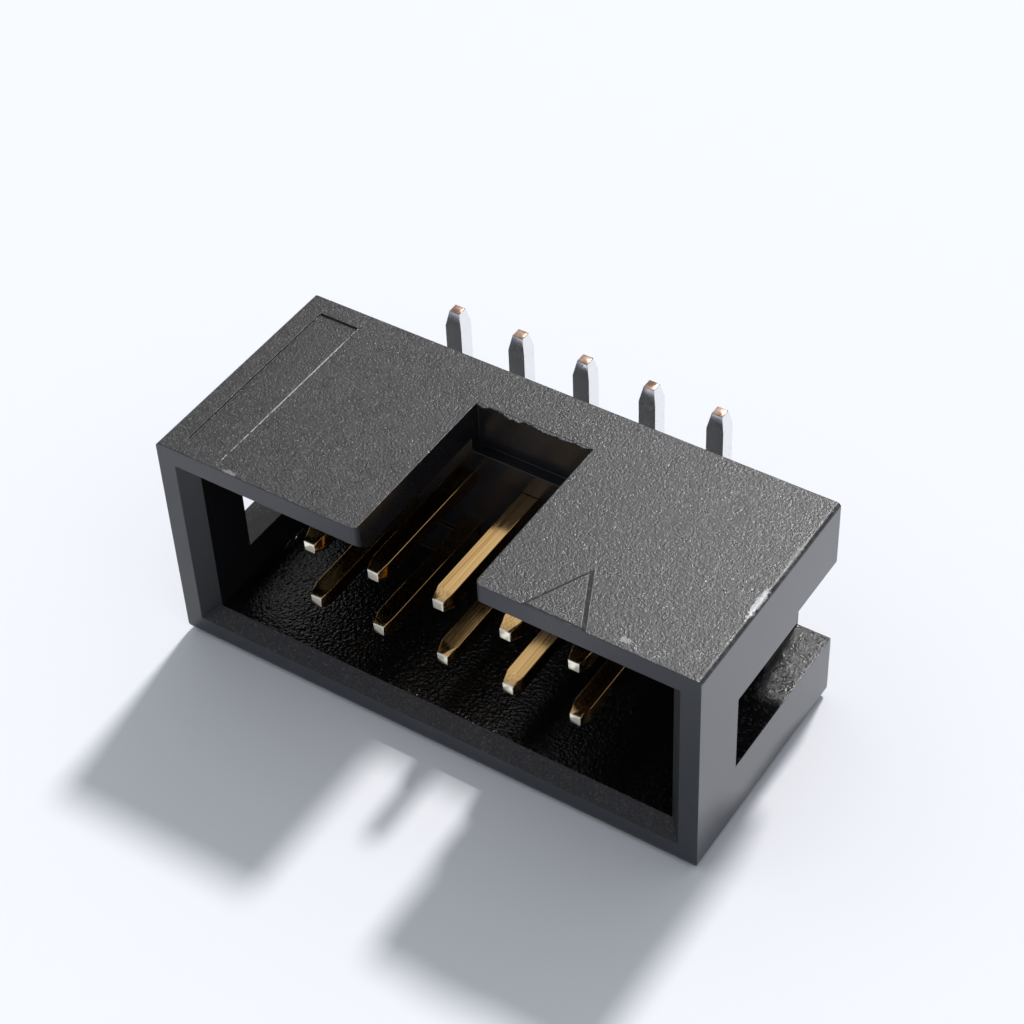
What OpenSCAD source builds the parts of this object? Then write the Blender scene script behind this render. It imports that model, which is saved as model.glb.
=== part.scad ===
// Shrouded box header: two rows of square contacts in a moulded housing with a key notch.
// The contacts' tails spread to both long sides behind the housing.
// X runs along the housing, +Y from the mouth to the tails, +Z from the flat side to the key side.
// The origin is under the middle of the whole part, on the face that it lies on.

/* [Contacts] */
// Distance between neighbouring contacts, along a row and between the rows
pitch = 2.54; // [2.4:0.01:2.8]
// Number of contacts in each of the two rows
columns = 5; // [3:1:10]
// Width and thickness of a contact
pin_w = 0.64; // [0.5:0.01:0.75]
// Width of the small flat at a contact's coined ends
pin_tip_w = 0.4; // [0.25:0.01:0.48]
// Length of the coined taper at the mating end
pin_coin_len = 0.5; // [0.2:0.05:1]
// Depth of the contact tips inside the mouth
pin_recess = 1.02; // [0.4:0.02:2]

/* [Tails] */
// Gap between the back of the housing and the tails
tail_gap = 1.0; // [0.6:0.05:2]
// Inside radius of a tail's bend
bend_r = 0.35; // [0.15:0.05:0.5]
// Length of the coined taper at a tail's end
tail_coin_len = 0.6; // [0.2:0.05:1]
// Height of the upper tails' ends above the key side of the housing
upper_tail_rise = 0.5; // [0:0.05:2]
// Height of the lower tails' ends above the flat side of the housing
lower_tail_clear = 0.1; // [0:0.05:0.5]

/* [Housing] */
// Distance from the outermost contact to the end of the housing
end_margin = 5.08; // [4.6:0.02:7]
// Height of the housing, from the flat side to the key side
body_h = 8.85; // [8.2:0.05:10]
// Depth of the housing, from the mouth to the back
body_d = 8.75; // [8.2:0.05:10]
// Radius of the outer edges round the flat side
flat_edge_r = 0.35; // [0.1:0.05:0.6]
// Radius of the outer edges where the key side meets the ends
key_edge_r = 0.15; // [0.05:0.05:0.4]

/* [Socket] */
// Wall under the socket
floor_wall = 1.35; // [1:0.05:1.6]
// Wall above the socket
roof_wall = 1.25; // [1:0.05:1.5]
// Wall at each end of the socket
end_wall = 1.22; // [0.9:0.02:1.6]
// Depth of the socket, from the mouth to the wall that holds the contacts
socket_d = 6.5; // [5:0.05:7]
// Width of the flat rim under the socket
floor_rim = 0.93; // [0.6:0.01:0.95]
// Width of the flat rim above the socket
roof_rim = 0.72; // [0.5:0.01:0.95]
// Width of the flat rim at each end of the socket
end_rim = 0.69; // [0.5:0.01:0.85]
// Depth of the sloped lead-in behind the rim
lead_in = 0.55; // [0.2:0.05:0.9]
// Depth of the shallow field that the contacts stand in, behind the socket
field_d = 0.15; // [0.05:0.05:0.5]
// Distance from the contacts to the field's upper and lower edges
field_gap = 0.03; // [0.02:0.01:0.3]
// Distance from the outermost contacts to the field's ends
field_side = 0.6; // [0.2:0.05:1]

/* [Key notch] */
// Width of the notch
key_w = 4.45; // [3:0.05:5]
// Length of the notch, from the mouth
key_len = 6.93; // [5.2:0.01:8]
// Depth of the notch below the key side
key_drop = 1.8; // [1.55:0.05:2.1]
// Radius of the notch's two corners at the mouth
key_corner_r = 0.25; // [0.05:0.05:0.6]

/* [End slots] */
// Height of the slots' lower edge above the flat side
slot_low = 2.7; // [2:0.05:3.2]
// Height of a slot's opening in its front part
slot_front_h = 3.15; // [2:0.05:3.4]
// Height of a slot's opening at the back
slot_back_h = 3.6; // [3.45:0.05:4.2]
// Distance from the mouth to the front end of a slot
slot_start = 2.37; // [1.5:0.01:4]
// Distance from the mouth to the step in a slot's upper edge
slot_step = 6.08; // [4.5:0.02:7]

/* [Key side marks] */
// Width of the triangle over the first contact, where it meets the mouth
mark_w = 2.3; // [1:0.1:2.4]
// Length of the triangle
mark_len = 2.4; // [1:0.1:4]
// Height of the triangle above the key side
mark_h = 0.12; // [0.05:0.01:0.3]
// Width of the triangle's sloped flanks
mark_flank = 0.15; // [0.05:0.01:0.3]
// Width of the shallow panel beside the left end
panel_w = 1.57; // [0.8:0.01:2.4]
// Length of the panel
panel_len = 7.3; // [4:0.1:7.5]
// Distance from the left end of the housing to the panel
panel_side = 0.8; // [0.4:0.05:1.5]
// Distance from the mouth to the panel
panel_front = 0.72; // [0.4:0.02:1]
// Depth of the panel
panel_d = 0.06; // [0.02:0.01:0.2]

/* [Hidden] */
$fn = 48;
cut = 1;    // how far a cutting shape runs past a face
body_l = (columns - 1) * pitch + 2 * end_margin;
socket_l = body_l - 2 * end_wall;
socket_h = body_h - floor_wall - roof_wall;
row_mid = floor_wall + socket_h / 2;
upper_row = row_mid + pitch / 2;
lower_row = row_mid - pitch / 2;
tail_front = body_d + tail_gap;
part_d = tail_front + pin_w;
bend_start = tail_front - bend_r;
upper_tail = body_h + upper_tail_rise - upper_row;
lower_tail = lower_row - lower_tail_clear;
black_plastic = [0.1, 0.1, 0.11];
gold = [0.86, 0.68, 0.35];

function column_x(k) = (k - (columns + 1) / 2) * pitch;

// Moves a shape from the mouth's own frame (mouth at y = 0) to the part's frame.
module from_mouth() {
    translate([0, -part_d / 2, 0]) children();
}

// Carries a flat drawing (along Y, up Z) into place and gives it a width along X.
module across_x(width) {
    rotate([90, 0, 90]) linear_extrude(width, center = true) children();
}

// A square bar from z = 0 to z = len that narrows from wide to tip, with flat sides.
module coined_end(wide, tip, len) {
    intersection() {
        rotate([90, 0, 0]) linear_extrude(wide, center = true)
            polygon([[-wide / 2, 0], [wide / 2, 0], [tip / 2, len], [-tip / 2, len]]);
        rotate([90, 0, 90]) linear_extrude(wide, center = true)
            polygon([[-wide / 2, 0], [wide / 2, 0], [tip / 2, len], [-tip / 2, len]]);
    }
}

// A contact whose row lies at z = 0 and whose tail points up, with its end at tail_len.
module contact(tail_len) {
    straight_from = pin_recess + pin_coin_len;
    turn_z = pin_w / 2 + bend_r;
    union() {
        translate([0, straight_from, 0]) rotate([90, 0, 0])
            coined_end(pin_w, pin_tip_w, pin_coin_len);
        across_x(pin_w) translate([straight_from, -pin_w / 2])
            square([bend_start - straight_from, pin_w]);
        rotate([90, 0, 90]) translate([bend_start, turn_z, 0]) rotate([0, 0, -90])
            rotate_extrude(angle = 90) translate([bend_r, -pin_w / 2]) square(pin_w);
        across_x(pin_w) translate([tail_front, turn_z])
            square([pin_w, tail_len - tail_coin_len - turn_z]);
        translate([0, tail_front + pin_w / 2, tail_len - tail_coin_len])
            coined_end(pin_w, pin_tip_w, tail_coin_len);
    }
}

module pin_upper(k) {
    color(gold) from_mouth() translate([column_x(k), 0, upper_row]) contact(upper_tail);
}

module pin_lower(k) {
    color(gold) from_mouth() translate([column_x(k), 0, lower_row]) mirror([0, 0, 1])
        contact(lower_tail);
}

// Outline of the housing seen from the mouth, with its four long edges rounded.
module mouth_outline() {
    half = body_l / 2;
    union() {
        translate([-half, flat_edge_r]) square([body_l, body_h - flat_edge_r - key_edge_r]);
        translate([-half + flat_edge_r, 0]) square([body_l - 2 * flat_edge_r, body_h / 2]);
        translate([-half + key_edge_r, body_h / 2]) square([body_l - 2 * key_edge_r, body_h / 2]);
        for (side = [-1, 1]) {
            translate([side * (half - flat_edge_r), flat_edge_r]) circle(flat_edge_r);
            translate([side * (half - key_edge_r), body_h - key_edge_r]) circle(key_edge_r);
        }
    }
}

// Outline of the housing seen from its end (mouth at the left), rounded at the flat side.
module end_outline() {
    union() {
        translate([0, flat_edge_r]) square([body_d, body_h - flat_edge_r]);
        translate([flat_edge_r, 0]) square([body_d - 2 * flat_edge_r, body_h]);
        for (y = [flat_edge_r, body_d - flat_edge_r]) translate([y, flat_edge_r]) circle(flat_edge_r);
    }
}

// The housing's outer form, before anything is cut from it.
module body_block() {
    intersection() {
        translate([0, body_d, 0]) rotate([90, 0, 0]) linear_extrude(body_d) mouth_outline();
        across_x(body_l) end_outline();
    }
}

// The hollow behind the mouth, with a sloped lead-in on all four sides.
module socket() {
    rim_l = body_l - 2 * end_rim;
    translate([-socket_l / 2, 0, floor_wall]) cube([socket_l, socket_d, socket_h]);
    intersection() {
        across_x(body_l) polygon([
            [0, floor_rim], [lead_in, floor_wall],
            [lead_in, floor_wall + socket_h], [0, body_h - roof_rim]
        ]);
        linear_extrude(body_h) polygon([
            [-rim_l / 2, 0], [-socket_l / 2, lead_in], [socket_l / 2, lead_in], [rim_l / 2, 0]
        ]);
    }
    translate([-rim_l / 2, -cut, floor_rim]) cube([rim_l, cut, body_h - roof_rim - floor_rim]);
}

// What is cut off one corner of the notch's mouth, at the right of x = 0, to round it.
module key_corner() {
    difference() {
        translate([0, -cut]) square([key_corner_r, key_corner_r + cut]);
        translate([key_corner_r, key_corner_r]) circle(key_corner_r);
    }
}

// The notch that takes the plug's key, cut a little into the wall that holds the contacts.
module key_notch() {
    translate([0, 0, body_h - key_drop]) linear_extrude(key_drop + cut) union() {
        translate([-key_w / 2, -cut]) square([key_w, key_len + cut]);
        for (side = [0, 1]) mirror([side, 0]) translate([key_w / 2, 0]) key_corner();
    }
}

// One end's slot, open at the back and through to the socket, with a step in its upper edge.
module end_slot() {
    translate([body_l / 2 - end_wall, 0, 0]) rotate([90, 0, 90]) linear_extrude(end_wall + cut)
        polygon([
            [slot_start, slot_low], [body_d + cut, slot_low],
            [body_d + cut, slot_low + slot_back_h], [slot_step, slot_low + slot_back_h],
            [slot_step, slot_low + slot_front_h], [slot_start, slot_low + slot_front_h]
        ]);
}

// The square hole that one contact is pressed through.
module contact_hole() {
    translate([-pin_w / 2, socket_d - cut, -pin_w / 2])
        cube([pin_w, body_d - socket_d + 2 * cut, pin_w]);
}

// The shallow field behind the socket that all the contacts stand in.
module contact_field() {
    field_l = (columns - 1) * pitch + pin_w + 2 * field_side;
    field_h = pitch + pin_w + 2 * field_gap;
    translate([-field_l / 2, socket_d - cut, row_mid - field_h / 2])
        cube([field_l, field_d + cut, field_h]);
}

// What lies inside one flank of the triangle over the first contact, from its root upwards.
module mark_side() {
    lean = atan(mark_w / 2 / mark_len);
    translate([mark_w / 2, 0, body_h]) rotate([90, 0, 180 + lean])
        linear_extrude(4 * mark_len, center = true) polygon([
            [0, -key_edge_r], [0, 0], [mark_flank, mark_h],
            [2 * mark_w, mark_h], [2 * mark_w, -key_edge_r]
        ]);
}

// The raised triangle over the first contact, with its base at the mouth.
module first_contact_mark() {
    translate([column_x(columns), 0, 0]) intersection() {
        mark_side();
        mirror([1, 0, 0]) mark_side();
        translate([-mark_w / 2, 0, 0]) cube([mark_w, mark_len, body_h + mark_h]);
    }
}

module housing() {
    color(black_plastic) from_mouth() difference() {
        union() {
            body_block();
            first_contact_mark();
        }
        socket();
        contact_field();
        key_notch();
        for (side = [0, 1]) mirror([side, 0, 0]) end_slot();
        for (k = [1:columns], row = [lower_row, upper_row])
            translate([column_x(k), 0, row]) contact_hole();
        translate([panel_side - body_l / 2, panel_front, body_h - panel_d])
            cube([panel_w, panel_len, panel_d + cut]);
    }
}

housing();
for (k = [1:columns]) {
    pin_upper(k);
    pin_lower(k);
}
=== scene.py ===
"""Looks of a ten-way shrouded box header lying on a pale floor. Every length is in metres.
The housing and the contacts are the CAD nodes. The flash along the key notch is the one added piece."""
import math

import bmesh
import bpy
from mathutils import Matrix, Vector, noise


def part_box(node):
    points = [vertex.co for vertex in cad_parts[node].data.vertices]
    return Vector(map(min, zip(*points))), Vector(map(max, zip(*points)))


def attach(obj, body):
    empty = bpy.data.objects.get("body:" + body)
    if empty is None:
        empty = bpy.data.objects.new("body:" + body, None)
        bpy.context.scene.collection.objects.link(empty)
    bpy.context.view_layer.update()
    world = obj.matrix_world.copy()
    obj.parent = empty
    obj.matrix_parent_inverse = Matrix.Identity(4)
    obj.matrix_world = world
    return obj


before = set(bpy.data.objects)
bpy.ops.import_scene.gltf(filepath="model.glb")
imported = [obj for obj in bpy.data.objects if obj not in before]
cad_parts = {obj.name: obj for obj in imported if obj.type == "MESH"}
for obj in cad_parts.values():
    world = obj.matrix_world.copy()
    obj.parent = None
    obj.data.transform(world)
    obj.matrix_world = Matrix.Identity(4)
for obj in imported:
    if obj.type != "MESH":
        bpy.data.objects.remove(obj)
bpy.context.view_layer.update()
MM = 0.001

HOUSING = "housing"
PINS = sorted(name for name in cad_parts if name.startswith("pin_"))
HOUSING_LOW, HOUSING_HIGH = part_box(HOUSING)
PIN_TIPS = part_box(PINS[0])[0].y                          # where all the contacts begin
TAIL_ENDS = max(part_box(name)[1].z for name in PINS)      # and where the upper tails end

# ---------------------------------------------------------------- edges

WELD_REACH = 0.0005 * MM
EDGE_ROUND = 0.05 * MM         # the housing's sharp edges, rounded in its finish alone
EDGE_SAMPLES = 6
PIN_EDGE_ROUND = 0.025 * MM    # the contacts' sharp edges, rounded in their meshes
PIN_EDGE_STEPS = 2
FLAT_ANGLE = 0.5               # neighbouring faces nearer than this to one plane are joined
HOUSING_SHARP_ANGLE = 32.0     # the housing's edges sharper than this stay sharp in the mesh
PIN_SHARP_ANGLE = 40.0         # the contacts' edges sharper than this are rounded

# ---------------------------------------------------------------- camera and light

CAMERA_AZIMUTH = 34.9
CAMERA_ELEVATION = 44.2
CAMERA_ROLL = -2.9
CAMERA_DISTANCE = 83.15 * MM
CAMERA_TARGET = Vector((-1.07, 1.75, 4.40)) * MM
LENS = 86.5
SENSOR = 36.0

KEY_AZIMUTH = 186.0        # the key light stands behind the header, a little to its left
KEY_ELEVATION = 47.7
KEY_SPREAD = 7.0           # its width seen from the header, in degrees
KEY_STRENGTH = 2.9
KEY_COLOUR = (1.0, 0.985, 0.99)
WORLD_COLOUR = (0.90, 0.95, 1.0)
WORLD_FILL = 0.56
MIRRORED_FRONT = 0.45      # how bright reflections find the room in front of the header
MIRRORED_BACK = 0.71       # and behind it, where the key light stands
MIRRORED_TINT = (0.86, 0.93, 1.14)
MIRRORED_FADE = 0.6        # the change from front to back takes this much of Y on either side
FLOOR_COLOUR = (0.79, 0.80, 0.83)
FLOOR_HALF = 1.5
FLOOR_DROP = 0.01 * MM


def direction(azimuth, elevation):
    """Unit vector from the object to a place round it; azimuth 0 is in front, 90 on its right."""
    a, e = math.radians(azimuth), math.radians(elevation)
    return Vector((math.sin(a) * math.cos(e), -math.cos(a) * math.cos(e), math.sin(e)))


def add_camera():
    data = bpy.data.cameras.new("camera")
    data.lens = LENS
    data.sensor_width = SENSOR
    data.clip_start = 1 * MM
    data.clip_end = 10.0
    camera = bpy.data.objects.new("camera", data)
    bpy.context.scene.collection.objects.link(camera)
    back = direction(CAMERA_AZIMUTH, CAMERA_ELEVATION)
    turn = (-back).to_track_quat("-Z", "Y").to_matrix().to_4x4()
    roll = Matrix.Rotation(math.radians(CAMERA_ROLL), 4, "Z")
    place = Matrix.Translation(CAMERA_TARGET + back * CAMERA_DISTANCE)
    camera.matrix_world = place @ turn @ roll
    bpy.context.scene.camera = camera


def add_key_light():
    data = bpy.data.lights.new("key", "SUN")
    data.energy = KEY_STRENGTH
    data.angle = math.radians(KEY_SPREAD)
    data.color = KEY_COLOUR
    key = bpy.data.objects.new("key", data)
    key.rotation_mode = "QUATERNION"
    key.rotation_quaternion = direction(KEY_AZIMUTH, KEY_ELEVATION).to_track_quat("Z", "Y")
    bpy.context.scene.collection.objects.link(key)


# ---------------------------------------------------------------- node helpers


class Shader:
    """A small wrapper that adds nodes to one node tree and links them by socket name."""

    def __init__(self, tree):
        self.tree = tree
        tree.nodes.clear()

    def add(self, kind, inputs=None, **settings):
        node = self.tree.nodes.new(kind)
        for name, value in settings.items():
            setattr(node, name, value)
        for name, value in (inputs or {}).items():
            self.set(node.inputs[name], value)
        return node

    def set(self, socket, value):
        if isinstance(value, bpy.types.NodeSocket):
            self.tree.links.new(value, socket)
        else:
            socket.default_value = value

    def maths(self, operation, *values):
        node = self.add("ShaderNodeMath", operation=operation)
        for socket, value in zip(node.inputs, values):
            self.set(socket, value)
        return node.outputs[0]

    def mix(self, amount, a, b):
        """Colour a where the amount is 0 and colour b where it is 1."""
        node = self.add("ShaderNodeMix", data_type="RGBA")
        self.set(node.inputs[0], amount)
        self.set(node.inputs[6], a)
        self.set(node.inputs[7], b)
        return node.outputs[2]

    def blend(self, value, low, high, to_low=0.0, to_high=1.0):
        """Carries value from low..high to to_low..to_high, and holds it there outside."""
        node = self.add("ShaderNodeMapRange", clamp=True)
        for socket, number in zip(node.inputs, (value, low, high, to_low, to_high)):
            self.set(socket, number)
        return node.outputs[0]

    def place(self):
        """The point's place in the part's own frame, as a vector and as x, y and z."""
        vector = self.add("ShaderNodeTexCoord").outputs["Object"]
        split = self.add("ShaderNodeSeparateXYZ", {"Vector": vector})
        return vector, split.outputs

    def noise(self, vector, size, detail=2.0, roughness=0.5, stretch=(1, 1, 1), offset=0.0):
        """Noise whose grain is about size metres across, longer along the stretched axes."""
        scale = [1 / (size * s) for s in stretch]
        shift = (offset, offset * 0.7, offset * 1.3)
        mapping = self.add("ShaderNodeMapping", {"Vector": vector, "Scale": scale, "Location": shift})
        inputs = {"Vector": mapping.outputs[0], "Scale": 1.0, "Detail": detail, "Roughness": roughness}
        return self.add("ShaderNodeTexNoise", inputs).outputs[0]

    def cells(self, vector, size):
        """Small random cells about size metres across: a grey value for each, from 0 to 1."""
        inputs = {"Vector": vector, "Scale": 1 / size}
        colour = self.add("ShaderNodeTexVoronoi", inputs, feature="F1").outputs["Color"]
        return self.add("ShaderNodeSeparateColor", {"Color": colour}).outputs[0]

    def spot(self, axis, centre, reach, ragged=None):
        """One round or long patch: 1 at its centre, falling to 0 at its reach along x and y."""
        along_x = self.maths("DIVIDE", self.maths("SUBTRACT", axis[0], centre[0]), reach[0])
        along_y = self.maths("DIVIDE", self.maths("SUBTRACT", axis[1], centre[1]), reach[1])
        square_x = self.maths("MULTIPLY", along_x, along_x)
        far = self.maths("ADD", square_x, self.maths("MULTIPLY", along_y, along_y))
        if ragged is not None:
            far = self.maths("ADD", far, ragged)
        return self.blend(far, 0.5, 1.0, 1.0, 0.0)

    def bump(self, height, depth, edge=0.0):
        """Relief of the given depth. Where an edge radius is given, sharp edges look rounded by it."""
        node = self.add("ShaderNodeBump", {"Height": height, "Distance": depth})
        if edge:
            rounded = self.add("ShaderNodeBevel", {"Radius": edge}, samples=EDGE_SAMPLES)
            self.set(node.inputs["Normal"], rounded.outputs[0])
        return node.outputs[0]

    def surface(self, inputs):
        """The finished surface, with the given inputs of the Principled shader."""
        shader = self.add("ShaderNodeBsdfPrincipled", inputs)
        output = self.add("ShaderNodeOutputMaterial")
        self.tree.links.new(shader.outputs[0], output.inputs[0])


def new_material(name):
    material = bpy.data.materials.new(name)
    material.use_nodes = True
    return material, Shader(material.node_tree)


def grey(level, tint=(1.0, 1.0, 1.0)):
    return (level * tint[0], level * tint[1], level * tint[2], 1.0)


# ---------------------------------------------------------------- plastic

GRAIN_TINT = (1.0, 0.98, 1.06)
GRAINED_IOR = 1.5
GLOSSY_IOR = 1.55
SCUFF_DEPTH = 0.02 * MM


def spark_eroded(name, level, grain, depth, roughness, marks=(), painted_glint=0.7, tint=GRAIN_TINT):
    """Black plastic with the grain of a spark-eroded mould, smoother specks whose bright colour is a
    painted glint, and a few marks.
    Each mark is (x, y, reach along x, reach along y, level): a lighter or darker patch, some of them
    painted highlights."""
    material, s = new_material(name)
    place, axis = s.place()
    coarse = s.noise(place, grain, detail=2, roughness=0.55)
    fine = s.noise(place, grain * 0.45, detail=2, roughness=0.6, offset=4)
    patches = s.noise(place, 0.45 * MM, detail=3, roughness=0.6, offset=9)
    speck_and_painted_glint = s.blend(s.cells(place, grain * 1.1), 0.82, 0.98)
    height = s.maths("ADD", coarse, s.maths("MULTIPLY", fine, 0.5))
    colour = s.mix(s.blend(coarse, 0.38, 0.66), grey(level * 0.35), grey(level * 1.6, tint))
    # the specks are painted lighter: painted glints of the key light
    colour = s.mix(s.maths("MULTIPLY", speck_and_painted_glint, painted_glint), colour, grey(level * 7, tint))
    ragged = s.blend(s.noise(place, 0.12 * MM, detail=2, offset=2), 0.3, 0.7, -0.6, 0.6)
    for x, y, reach_x, reach_y, shade in marks:
        patch = s.spot(axis, (x * MM, y * MM), (reach_x * MM, reach_y * MM), ragged)
        colour = s.mix(patch, colour, grey(shade))
    rough = s.maths("ADD", s.blend(patches, 0.3, 0.7, -0.07, 0.07), roughness)
    rough = s.maths("SUBTRACT", rough, s.maths("MULTIPLY", speck_and_painted_glint, 0.12))
    s.surface({
        "Base Color": colour,
        "Roughness": rough,
        "IOR": GRAINED_IOR,
        "Normal": s.bump(height, depth, EDGE_ROUND),
    })
    return material


def smooth_plastic(name, level, roughness, wave=0.0, tint=(1.0, 1.0, 1.04), ior=GLOSSY_IOR):
    """Black plastic from a polished part of the mould, with faint waves and fine scuffs."""
    material, s = new_material(name)
    place, _ = s.place()
    slow = s.noise(place, 1.5 * MM, detail=2, offset=3)
    scuff = s.noise(place, 0.05 * MM, detail=2, offset=7)
    rough = s.maths("ADD", s.blend(slow, 0.3, 0.7, -0.03, 0.05), roughness)
    height = s.maths("ADD", s.maths("MULTIPLY", slow, wave), s.maths("MULTIPLY", scuff, 0.02))
    s.surface({
        "Base Color": grey(level, tint),
        "Roughness": rough,
        "IOR": ior,
        "Normal": s.bump(height, SCUFF_DEPTH, EDGE_ROUND),
    })
    return material


def pebbled_plastic(name, level, grain, depth, roughness):
    """Glossy plastic with a pebbled, orange-peel skin."""
    material, s = new_material(name)
    place, _ = s.place()
    cells = s.add("ShaderNodeTexVoronoi", {"Vector": place, "Scale": 1 / grain}, feature="SMOOTH_F1")
    lumps = s.noise(place, grain * 0.8, detail=2)
    height = s.maths("SUBTRACT", lumps, s.maths("MULTIPLY", cells.outputs[0], 0.6))
    s.surface({
        "Base Color": grey(level),
        "Roughness": roughness,
        "IOR": GLOSSY_IOR,
        "Normal": s.bump(height, depth, EDGE_ROUND),
    })
    return material


# Patches seen on the key side. In mm: x, y, reach along x and along y; then the level.
# The light streak along the right end's edge and its fading part are a painted highlight, for the light
# that a worn flat on that edge catches. The cause of the other light and dark patches isn't known.
# The last one paints the light that the real panel's inner edge catches and this one doesn't.
KEY_SIDE_MARKS_AND_HIGHLIGHTS = (
    (7.4, -4.85, 0.22, 0.13, 0.20),       # light patch near the mouth, on the right
    (-7.2, -5.1, 0.30, 0.10, 0.16),       # light patch at the mouth's edge, on the left
    (10.0, -1.5, 0.13, 0.75, 0.42),       # painted highlight along the right end's edge, where it is worn flat
    (10.03, 0.6, 0.08, 1.10, 0.12),       # the painted highlight fading towards the back
    (9.4, -1.0, 0.50, 0.28, 0.008),       # dark patch beside it
    (-7.78, -0.82, 0.045, 3.90, 0.38),    # light line along the inner side of the panel
)
KEY_SIDE = spark_eroded("key_side_plastic", 0.013, 0.078 * MM, 0.016 * MM, 0.34, KEY_SIDE_MARKS_AND_HIGHLIGHTS)
SLOT_EDGE = spark_eroded("slot_edge_plastic", 0.007, 0.07 * MM, 0.007 * MM, 0.18)
# the strong blue in the rim's and the end's tints is a painted reflection: the blue these faces mirror
# from the floor around them
RIM = smooth_plastic("rim_plastic", 0.021, 0.36, wave=0.1, tint=(0.86, 0.97, 1.30))
END = smooth_plastic("end_plastic", 0.016, 0.10, wave=0.12, tint=(0.8, 0.95, 1.3), ior=1.8)
SOCKET = smooth_plastic("socket_plastic", 0.009, 0.22, wave=0.12, tint=(0.95, 0.97, 1.15))
FLOOR = pebbled_plastic("socket_floor_plastic", 0.004, 0.14 * MM, 0.035 * MM, 0.13)
LEAD_IN = smooth_plastic("lead_in_plastic", 0.016, 0.42, wave=0.2, tint=(0.95, 0.98, 1.10))
LOW_LEAD_IN = spark_eroded(
    "low_lead_in_plastic", 0.018, 0.06 * MM, 0.009 * MM, 0.5, painted_glint=0.2, tint=(1.15, 0.97, 0.90)
)
BACK = smooth_plastic("back_plastic", 0.022, 0.40, wave=0.15)
HOUSING_MATERIALS = [KEY_SIDE, SLOT_EDGE, RIM, END, SOCKET, FLOOR, LEAD_IN, LOW_LEAD_IN, BACK]

SIDE_REACH = 0.02 * MM         # a face this near one side of the housing belongs to that side
KEY_LEVEL = 8.85 * MM          # the key side, without its triangle
KEY_SIDE_DEPTH = 0.11 * MM     # the panel's walls lie in this depth
KEY_EDGE_DEPTH = 0.16 * MM     # and the rounded edges at the key side's ends in this one
FLAT_EDGE_HEIGHT = 0.36 * MM   # the rounded edges round the flat side end below this height
MOUTH_DEPTH = 0.6 * MM         # the lead-in and the notch's rounded corners lie in this depth
NOTCH_REACH = 3 * MM           # and these corners lie this near the middle
END_WALL = 1.25 * MM
SOCKET_FLOOR_HEIGHT = 2 * MM   # the socket's floor lies below this height


def housing_finish(face):
    """The material of one face of the housing, by the way it looks and where it lies."""
    n, c = face.normal, face.center
    if c.z > KEY_LEVEL - KEY_SIDE_DEPTH or (n.z > 0.3 and c.z > KEY_LEVEL - KEY_EDGE_DEPTH):
        return KEY_SIDE
    if abs(c.x) > HOUSING_HIGH.x - SIDE_REACH:
        return END
    if c.z < FLAT_EDGE_HEIGHT and n.z < -0.05:
        if abs(n.x) > 0.7:
            return END
        return RIM if n.y < -0.7 else BACK
    if n.y < -0.9 and c.y < HOUSING_LOW.y + SIDE_REACH:
        return RIM
    if n.y > 0.9 and c.y > HOUSING_HIGH.y - SIDE_REACH:
        return BACK
    at_mouth = c.y < HOUSING_LOW.y + MOUTH_DEPTH
    if at_mouth and abs(n.z) < 0.1 and abs(c.x) < NOTCH_REACH and n.y < -0.1:
        return RIM
    if at_mouth and -0.9 < n.y < -0.3:
        return LOW_LEAD_IN if n.z > 0.5 else LEAD_IN
    if abs(c.x) > HOUSING_HIGH.x - END_WALL and abs(n.x) < 0.5:
        return SLOT_EDGE if n.z > 0.5 else SOCKET
    if n.z > 0.9 and c.z < SOCKET_FLOOR_HEIGHT:
        return FLOOR
    return SOCKET


# ---------------------------------------------------------------- metal

GOLD_DARK = (0.56, 0.33, 0.12, 1)
GOLD_LIGHT = (0.86, 0.58, 0.26, 1)
# the tips' pale colour is a painted reflection of a white floor, lighter than gold would mirror it
TIP_PAINTED_REFLECTION = (0.93, 0.88, 0.72, 1)
TIN = (0.86, 0.86, 0.86, 1)
BARE_DARK = (0.30, 0.19, 0.14, 1)
BARE_LIGHT = (0.62, 0.44, 0.34, 1)
DRAWN_LINE = 0.025 * MM        # the width of the drawn lines
DRAWN_STRETCH = 200            # and how many times longer they are
DRAWN_DEPTH = 0.0012 * MM
TIN_BEGINS = HOUSING_HIGH.y - 0.5 * MM
TIN_FULL = HOUSING_HIGH.y - 0.3 * MM


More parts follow.
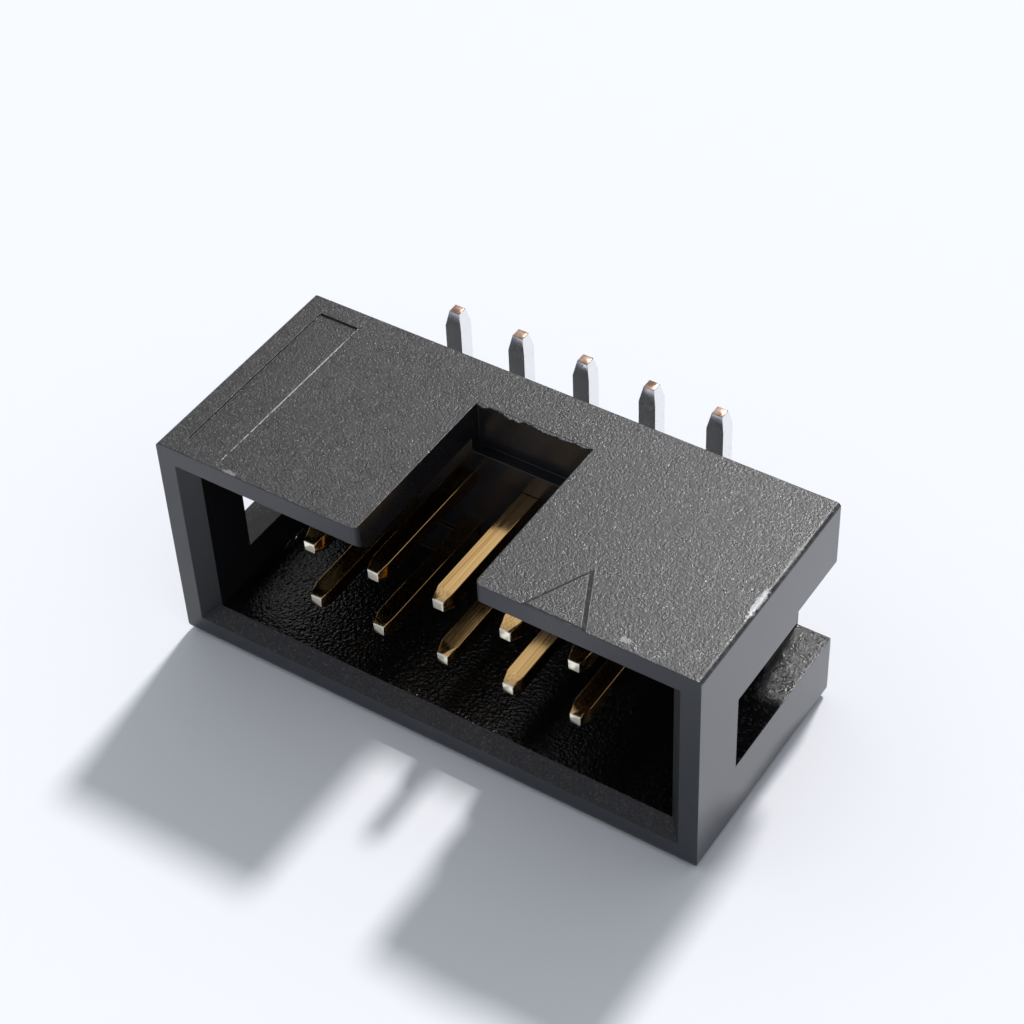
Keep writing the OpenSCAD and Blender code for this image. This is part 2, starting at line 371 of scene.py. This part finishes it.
def contact_metal():
    """Gold-flashed contact with drawn lines along it, tinned near the back wall and behind it. Its tip
    is painted pale: a painted reflection of the white floor it mirrors. The cut end of an upper tail is
    bare."""
    material, s = new_material("contact_plating")
    place, axis = s.place()
    tin = s.blend(axis[1], TIN_BEGINS, TIN_FULL)
    tip = s.blend(axis[1], PIN_TIPS + 0.02 * MM, PIN_TIPS + 0.06 * MM, 1.0, 0.0)
    cut_end = s.blend(axis[2], TAIL_ENDS - 0.03 * MM, TAIL_ENDS - 0.01 * MM)
    along_y = s.noise(place, DRAWN_LINE, detail=2, stretch=(1, DRAWN_STRETCH, 1))
    along_z = s.noise(place, DRAWN_LINE, detail=2, stretch=(1, 1, DRAWN_STRETCH))
    lines = s.mix(tin, along_y, along_z)
    patches = s.noise(place, 0.5 * MM, detail=2, offset=5)
    gold = s.mix(s.blend(lines, 0.35, 0.65), GOLD_DARK, GOLD_LIGHT)
    bare = s.mix(s.blend(patches, 0.4, 0.6), BARE_DARK, BARE_LIGHT)
    colour = s.mix(tip, gold, TIP_PAINTED_REFLECTION)
    colour = s.mix(tin, colour, TIN)
    colour = s.mix(cut_end, colour, bare)
    rough = s.mix(tin, s.blend(lines, 0.3, 0.7, 0.07, 0.16), s.blend(patches, 0.3, 0.7, 0.14, 0.3))
    s.surface({
        "Base Color": colour,
        "Metallic": 1.0,
        "Roughness": rough,
        "Normal": s.bump(lines, DRAWN_DEPTH),
    })
    return material


CONTACT = contact_metal()


# ---------------------------------------------------------------- dressing the CAD nodes


def weld(node):
    """Joins the imported faces and shades the curved ones as one."""
    joined = node.modifiers.new("weld", "WELD")
    joined.merge_threshold = WELD_REACH
    for face in node.data.polygons:
        face.use_smooth = True


def weigh_normals(node):
    """Keeps large flat faces flat in the shading beside small curved ones."""
    normals = node.modifiers.new("weighted_normals", "WEIGHTED_NORMAL")
    normals.keep_sharp = False


def dress_housing():
    """The housing keeps its CAD edges; its materials show the sharp ones slightly rounded."""
    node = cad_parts[HOUSING]
    node.data.materials.clear()
    for material in HOUSING_MATERIALS:
        node.data.materials.append(material)
    for face in node.data.polygons:
        face.material_index = HOUSING_MATERIALS.index(housing_finish(face))
    weld(node)
    split = node.modifiers.new("sharp_edges", "EDGE_SPLIT")
    split.split_angle = math.radians(HOUSING_SHARP_ANGLE)
    weigh_normals(node)


def dress_pins():
    """The contacts' edges are rounded in the mesh itself."""
    for name in PINS:
        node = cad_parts[name]
        node.data.materials.clear()
        node.data.materials.append(CONTACT)
        weld(node)
        flat = node.modifiers.new("flat_faces", "DECIMATE")
        flat.decimate_type = "DISSOLVE"
        flat.angle_limit = math.radians(FLAT_ANGLE)
        bevel = node.modifiers.new("rounded_edges", "BEVEL")
        bevel.width = PIN_EDGE_ROUND
        bevel.segments = PIN_EDGE_STEPS
        bevel.angle_limit = math.radians(PIN_SHARP_ANGLE)
        bevel.use_clamp_overlap = False
        weigh_normals(node)


# ---------------------------------------------------------------- flash in the key notch

NOTCH_HALF = 2.22 * MM         # half the notch's width
NOTCH_END = 1.735 * MM         # and the place of its inner end
FLASH_STEPS = 110
FLASH_REACH = 0.17 * MM        # how far the flash stands out at most
FLASH_DEPTH = 0.06 * MM
FLASH_ROOT = 0.02 * MM         # how far it is sunk in the housing
FLASH_SINK = 0.004 * MM        # how far its top lies below the key side
FLASH_LEAST = 0.06             # the rest are shares of the reach
FLASH_MEAN = 0.42
FLASH_SLOW = 0.75
FLASH_QUICK = 0.45
SLOW_LENGTH = 0.55 * MM
QUICK_LENGTH = 0.14 * MM


def flash_reach(x):
    """How far the ragged flash stands out over the notch at x: a few bites in a low ridge."""
    slow = noise.noise(Vector((x / SLOW_LENGTH, 3.1, 0.4)))
    quick = noise.noise(Vector((x / QUICK_LENGTH, 7.7, 1.9)))
    share = FLASH_MEAN + FLASH_SLOW * slow + FLASH_QUICK * quick
    return FLASH_REACH * min(1.0, max(FLASH_LEAST, share))


def flash_mesh():
    """A bar of four-cornered sections with a ragged front, closed at both ends."""
    corners, faces = [], []
    top = KEY_LEVEL - FLASH_SINK
    low = top - FLASH_DEPTH
    root = NOTCH_END + FLASH_ROOT
    for step in range(FLASH_STEPS + 1):
        x = NOTCH_HALF * (2 * step / FLASH_STEPS - 1)
        lip = NOTCH_END - flash_reach(x)
        corners += [(x, root, top), (x, lip, top), (x, lip, low), (x, root, low)]
    for a in range(0, 4 * FLASH_STEPS, 4):
        b = a + 4
        faces += [(a + k, a + (k + 1) % 4, b + (k + 1) % 4, b + k) for k in range(4)]
    last = 4 * FLASH_STEPS
    faces += [(3, 2, 1, 0), (last, last + 1, last + 2, last + 3)]
    mesh = bpy.data.meshes.new("notch_flash")
    mesh.from_pydata(corners, [], faces)
    shape = bmesh.new()
    shape.from_mesh(mesh)
    bmesh.ops.recalc_face_normals(shape, faces=shape.faces)
    shape.to_mesh(mesh)
    shape.free()
    return mesh


def add_notch_flash():
    """A thin ragged edge of flash along the inner end of the key notch."""
    mesh = flash_mesh()
    mesh.materials.append(KEY_SIDE)
    piece = bpy.data.objects.new("notch_flash", mesh)
    bpy.context.scene.collection.objects.link(piece)
    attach(piece, "root")


# ---------------------------------------------------------------- floor and world


def add_floor():
    mesh = bpy.data.meshes.new("floor")
    floor = bpy.data.objects.new("floor", mesh)
    bpy.context.scene.collection.objects.link(floor)
    corners = [(FLOOR_HALF * x, FLOOR_HALF * y, 0) for x, y in ((-1, -1), (1, -1), (1, 1), (-1, 1))]
    mesh.from_pydata(corners, [], [(0, 1, 2, 3)])
    floor.location.z = -FLOOR_DROP
    material, s = new_material("pale_floor")
    s.surface({"Base Color": (*FLOOR_COLOUR, 1), "Roughness": 0.8, "Specular IOR Level": 0.2})
    mesh.materials.append(material)


def add_world():
    """An even room: white to the camera, soft fill for dull surfaces, and for reflections a room that
    is brighter behind the header than in front of it."""
    world = bpy.data.worlds.new("studio")
    world.use_nodes = True
    bpy.context.scene.world = world
    s = Shader(world.node_tree)
    path = s.add("ShaderNodeLightPath").outputs
    camera_ray = path["Is Camera Ray"]
    shown = s.maths("MAXIMUM", camera_ray, path["Is Transmission Ray"])
    shown = s.maths("MAXIMUM", shown, path["Is Glossy Ray"])
    vector = s.add("ShaderNodeTexCoord").outputs["Generated"]
    y = s.add("ShaderNodeSeparateXYZ", {"Vector": vector}).outputs["Y"]
    mirrored = s.blend(y, -MIRRORED_FADE, MIRRORED_FADE, MIRRORED_FRONT, MIRRORED_BACK)
    strength = s.add("ShaderNodeMix", data_type="FLOAT")
    s.set(strength.inputs[0], shown)
    s.set(strength.inputs[2], WORLD_FILL)
    s.set(strength.inputs[3], s.maths("MAXIMUM", mirrored, camera_ray))
    white = (1, 1, 1, 1)
    seen = s.mix(s.blend(y, -MIRRORED_FADE, MIRRORED_FADE), (*MIRRORED_TINT, 1), white)
    seen = s.mix(camera_ray, seen, white)
    colour = s.mix(shown, (*WORLD_COLOUR, 1), seen)
    light = s.add("ShaderNodeBackground", {"Color": colour, "Strength": strength.outputs[0]})
    output = s.add("ShaderNodeOutputWorld")
    world.node_tree.links.new(light.outputs[0], output.inputs[0])


bpy.context.scene.view_settings.view_transform = "Standard"
add_camera()
add_key_light()
add_world()
add_floor()
dress_housing()
dress_pins()
add_notch_flash()
